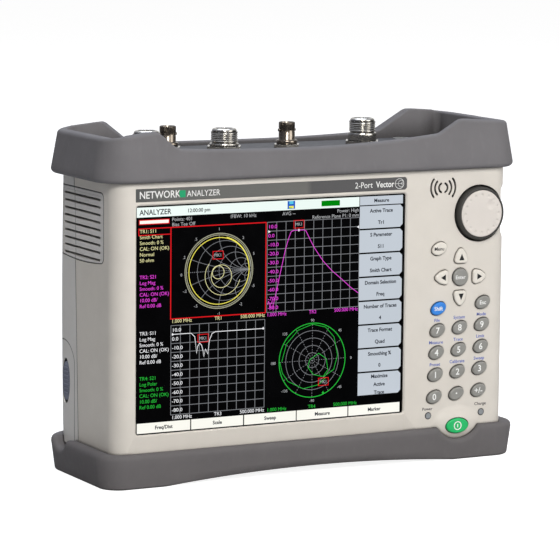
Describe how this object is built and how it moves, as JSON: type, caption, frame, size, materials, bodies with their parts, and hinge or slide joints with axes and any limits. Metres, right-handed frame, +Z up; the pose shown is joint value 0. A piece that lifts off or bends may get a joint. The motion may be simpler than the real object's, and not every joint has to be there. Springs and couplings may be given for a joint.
{
  "type": "vector network analyzer",
  "caption": "Hand-carried radio test instrument: a display, keypad and knob in a cream case between grey rubber bumpers, with coaxial ports in the hollow top.",
  "frame": {"origin": "middle of the footprint, at the height where the feet rest", "axes": "+X to the operator's right, +Y to the back, +Z up; the display faces -Y"},
  "size_m": [0.273, 0.091, 0.203],
  "materials": {
    "case_plastic": "fine moulded texture",
    "bumper_rubber": "satin moulded elastomer",
    "strip_film": "printed film",
    "window_glass": "clear gloss over black",
    "foam": "matte foam",
    "lcd_black": "gloss",
    "sheet_metal": "brushed",
    "silicone": "satin",
    "circuit_board": "solder mask",
    "key_grey": "satin",
    "key_cream": "satin",
    "key_blue": "satin",
    "key_green": "satin",
    "knob_dark": "satin",
    "knob_cream": "satin",
    "black_plastic": "matte",
    "steel": "turned",
    "light_pipe": "translucent grey",
    "panel_paint": "fine texture paint",
    "nickel": "nickel plate",
    "warm_nickel": "nickel plate over brass",
    "ptfe": "waxy",
    "gold": "gold plate",
    "copper_coax": "copper tube",
    "grip_rubber": "ribbed",
    "bail_plastic": "satin"
  },
  "bodies": {
    "case": {"bail_hinge_pins": "steel", "battery_contacts": "black_plastic", "battery_pack": "black_plastic", "bnc_connector_bodies": "warm_nickel", "bottom_bumper": "bumper_rubber", "bumper_screws": "steel", "case_screws": "steel", "chassis": "sheet_metal", "connector_contacts": "gold", "connector_insulators": "ptfe", "connector_panel": "panel_paint", "display_gasket": "foam", "display_window": "window_glass", "encoder_body": "black_plastic", "fan_frame": "black_plastic", "front_case": "case_plastic", "interface_ports": "nickel", "keypad_board": "circuit_board", "keypad_mat": "silicone", "lcd_frame": "sheet_metal", "lcd_panel": "lcd_black", "led_light_pipes": "light_pipe", "main_board": "circuit_board", "n_connector_bodies": "nickel", "panel_nuts": "nickel", "rear_case": "case_plastic", "rf_cables": "copper_coax", "rf_module": "sheet_metal", "speaker": "black_plastic", "title_strip": "strip_film", "top_bumper": "bumper_rubber", "vent_grille": "case_plastic"},
    "key_0": {"key_0": "key_grey"},
    "key_1": {"key_1": "key_grey"},
    "key_2": {"key_2": "key_grey"},
    "key_3": {"key_3": "key_grey"},
    "key_4": {"key_4": "key_grey"},
    "key_5": {"key_5": "key_grey"},
    "key_6": {"key_6": "key_grey"},
    "key_7": {"key_7": "key_grey"},
    "key_8": {"key_8": "key_grey"},
    "key_9": {"key_9": "key_grey"},
    "key_point": {"key_point": "key_grey"},
    "key_plus_minus": {"key_plus_minus": "key_grey"},
    "key_shift": {"key_shift": "key_blue"},
    "key_escape": {"key_escape": "key_grey"},
    "key_menu": {"key_menu": "key_cream"},
    "key_enter": {"key_enter": "key_grey"},
    "arrow_up": {"arrow_up": "key_cream"},
    "arrow_down": {"arrow_down": "key_cream"},
    "arrow_left": {"arrow_left": "key_cream"},
    "arrow_right": {"arrow_right": "key_cream"},
    "power_button": {"power_button": "key_green"},
    "knob": {"knob_rim": "knob_dark", "knob_cap": "knob_cream", "encoder_shaft": "steel"},
    "fan": {"fan_rotor": "black_plastic"},
    "battery_door": {"battery_door": "case_plastic", "battery_door_grip": "grip_rubber"},
    "tilt_bail": {"tilt_bail": "bail_plastic"}
  },
  "joints": [
    {"name": "key_0_press", "type": "slide", "parent": "case", "child": "key_0", "axis": [0, 1, 0], "range_m": [0, 0.001]},
    {"name": "key_1_press", "type": "slide", "parent": "case", "child": "key_1", "axis": [0, 1, 0], "range_m": [0, 0.001]},
    {"name": "key_2_press", "type": "slide", "parent": "case", "child": "key_2", "axis": [0, 1, 0], "range_m": [0, 0.001]},
    {"name": "key_3_press", "type": "slide", "parent": "case", "child": "key_3", "axis": [0, 1, 0], "range_m": [0, 0.001]},
    {"name": "key_4_press", "type": "slide", "parent": "case", "child": "key_4", "axis": [0, 1, 0], "range_m": [0, 0.001]},
    {"name": "key_5_press", "type": "slide", "parent": "case", "child": "key_5", "axis": [0, 1, 0], "range_m": [0, 0.001]},
    {"name": "key_6_press", "type": "slide", "parent": "case", "child": "key_6", "axis": [0, 1, 0], "range_m": [0, 0.001]},
    {"name": "key_7_press", "type": "slide", "parent": "case", "child": "key_7", "axis": [0, 1, 0], "range_m": [0, 0.001]},
    {"name": "key_8_press", "type": "slide", "parent": "case", "child": "key_8", "axis": [0, 1, 0], "range_m": [0, 0.001]},
    {"name": "key_9_press", "type": "slide", "parent": "case", "child": "key_9", "axis": [0, 1, 0], "range_m": [0, 0.001]},
    {"name": "key_point_press", "type": "slide", "parent": "case", "child": "key_point", "axis": [0, 1, 0], "range_m": [0, 0.001]},
    {"name": "key_plus_minus_press", "type": "slide", "parent": "case", "child": "key_plus_minus", "axis": [0, 1, 0], "range_m": [0, 0.001]},
    {"name": "key_shift_press", "type": "slide", "parent": "case", "child": "key_shift", "axis": [0, 1, 0], "range_m": [0, 0.001]},
    {"name": "key_escape_press", "type": "slide", "parent": "case", "child": "key_escape", "axis": [0, 1, 0], "range_m": [0, 0.001]},
    {"name": "key_menu_press", "type": "slide", "parent": "case", "child": "key_menu", "axis": [0, 1, 0], "range_m": [0, 0.001]},
    {"name": "key_enter_press", "type": "slide", "parent": "case", "child": "key_enter", "axis": [0, 1, 0], "range_m": [0, 0.001]},
    {"name": "arrow_up_press", "type": "slide", "parent": "case", "child": "arrow_up", "axis": [0, 1, 0], "range_m": [0, 0.001]},
    {"name": "arrow_down_press", "type": "slide", "parent": "case", "child": "arrow_down", "axis": [0, 1, 0], "range_m": [0, 0.001]},
    {"name": "arrow_left_press", "type": "slide", "parent": "case", "child": "arrow_left", "axis": [0, 1, 0], "range_m": [0, 0.001]},
    {"name": "arrow_right_press", "type": "slide", "parent": "case", "child": "arrow_right", "axis": [0, 1, 0], "range_m": [0, 0.001]},
    {"name": "power_button_press", "type": "slide", "parent": "case", "child": "power_button", "axis": [0, 1, 0], "range_m": [0, 0.001]},
    {"name": "knob_turn", "type": "hinge", "parent": "case", "child": "knob", "pos_m": [0.1078, -0.035, 0.1468], "axis": [0, -1, 0], "continuous": true},
    {"name": "fan_spin", "type": "hinge", "parent": "case", "child": "fan", "pos_m": [-0.117, 0.003, 0.147], "axis": [1, 0, 0], "continuous": true},
    {"name": "battery_door_slide", "type": "slide", "parent": "case", "child": "battery_door", "axis": [0, 0, -1], "range_m": [0, 0.006]},
    {"name": "tilt_bail_swing", "type": "hinge", "parent": "case", "child": "tilt_bail", "pos_m": [0, 0.0374, 0.162], "axis": [1, 0, 0], "range_deg": [0, 38]}
  ]
}
